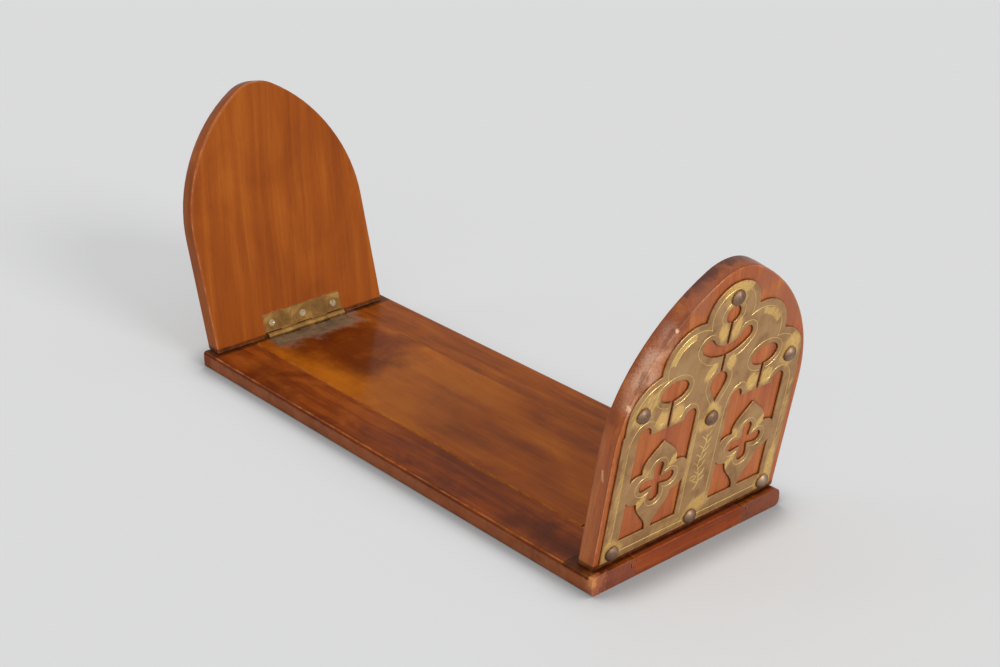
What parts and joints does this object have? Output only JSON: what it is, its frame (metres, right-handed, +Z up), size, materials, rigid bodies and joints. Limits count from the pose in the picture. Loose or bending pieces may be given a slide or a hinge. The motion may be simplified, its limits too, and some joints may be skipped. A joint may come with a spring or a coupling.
{
  "type": "book rest",
  "caption": "Extending wooden book rest: rails and a sliding board carry two arched, outward-leaning ends on hinges, each with a pierced Gothic brass mount, and fold flat.",
  "frame": {"origin": "middle of the bounding box at the level of the surface that the rest stands on, with the slide closed and both ends up", "axes": "+X along the length towards the near end, whose board stands on the fixed base; the far end on the slide is at -X; +Y towards the rear rail; +Z up"},
  "size_m": [0.4148, 0.14, 0.1664],
  "materials": {
    "rail_walnut": "french polished, dark",
    "slide_walnut": "french polished, figured",
    "end_walnut": "french polished",
    "mount_brass": "engraved, lacquered and aged",
    "nail_bronze": "aged, domed heads",
    "hinge_brass": "worn"
  },
  "bodies": {
    "base": {"front_rail": "rail_walnut", "rear_rail": "rail_walnut", "end_block": "rail_walnut", "cross_batten": "rail_walnut", "batten_screw_1": "hinge_brass", "batten_screw_2": "hinge_brass", "batten_screw_3": "hinge_brass", "batten_screw_4": "hinge_brass", "near_base_leaf": "hinge_brass", "near_base_screw_1": "hinge_brass", "near_base_screw_2": "hinge_brass", "near_base_screw_3": "hinge_brass", "near_hinge_pin": "hinge_brass"},
    "slide": {"slide_board": "slide_walnut", "stop_strip": "slide_walnut", "far_base_leaf": "hinge_brass", "far_base_screw_1": "hinge_brass", "far_base_screw_2": "hinge_brass", "far_base_screw_3": "hinge_brass", "far_hinge_pin": "hinge_brass"},
    "near_end": {"near_end": "end_walnut", "near_end_leaf": "hinge_brass", "near_end_screw_1": "hinge_brass", "near_end_screw_2": "hinge_brass", "near_end_screw_3": "hinge_brass", "near_mount": "mount_brass", "near_nail_top": "nail_bronze", "near_nail_left_shoulder": "nail_bronze", "near_nail_right_shoulder": "nail_bronze", "near_nail_middle": "nail_bronze", "near_nail_left_foot": "nail_bronze", "near_nail_middle_foot": "nail_bronze", "near_nail_right_foot": "nail_bronze"},
    "far_end": {"far_end": "end_walnut", "far_end_leaf": "hinge_brass", "far_end_screw_1": "hinge_brass", "far_end_screw_2": "hinge_brass", "far_end_screw_3": "hinge_brass", "far_mount": "mount_brass", "far_nail_top": "nail_bronze", "far_nail_left_shoulder": "nail_bronze", "far_nail_right_shoulder": "nail_bronze", "far_nail_middle": "nail_bronze", "far_nail_left_foot": "nail_bronze", "far_nail_middle_foot": "nail_bronze", "far_nail_right_foot": "nail_bronze"}
  },
  "joints": [
    {"name": "slide_travel", "type": "slide", "parent": "base", "child": "slide", "axis": [-1, 0, 0], "range_m": [0, 0.18]},
    {"name": "near_end_fold", "type": "hinge", "parent": "base", "child": "near_end", "pos_m": [0.16523, 0, 0.0116], "axis": [0, -1, 0], "range_deg": [0, 101.1]},
    {"name": "far_end_fold", "type": "hinge", "parent": "slide", "child": "far_end", "pos_m": [-0.15521, 0, 0.0122], "axis": [0, 1, 0], "range_deg": [0, 105.4]}
  ]
}
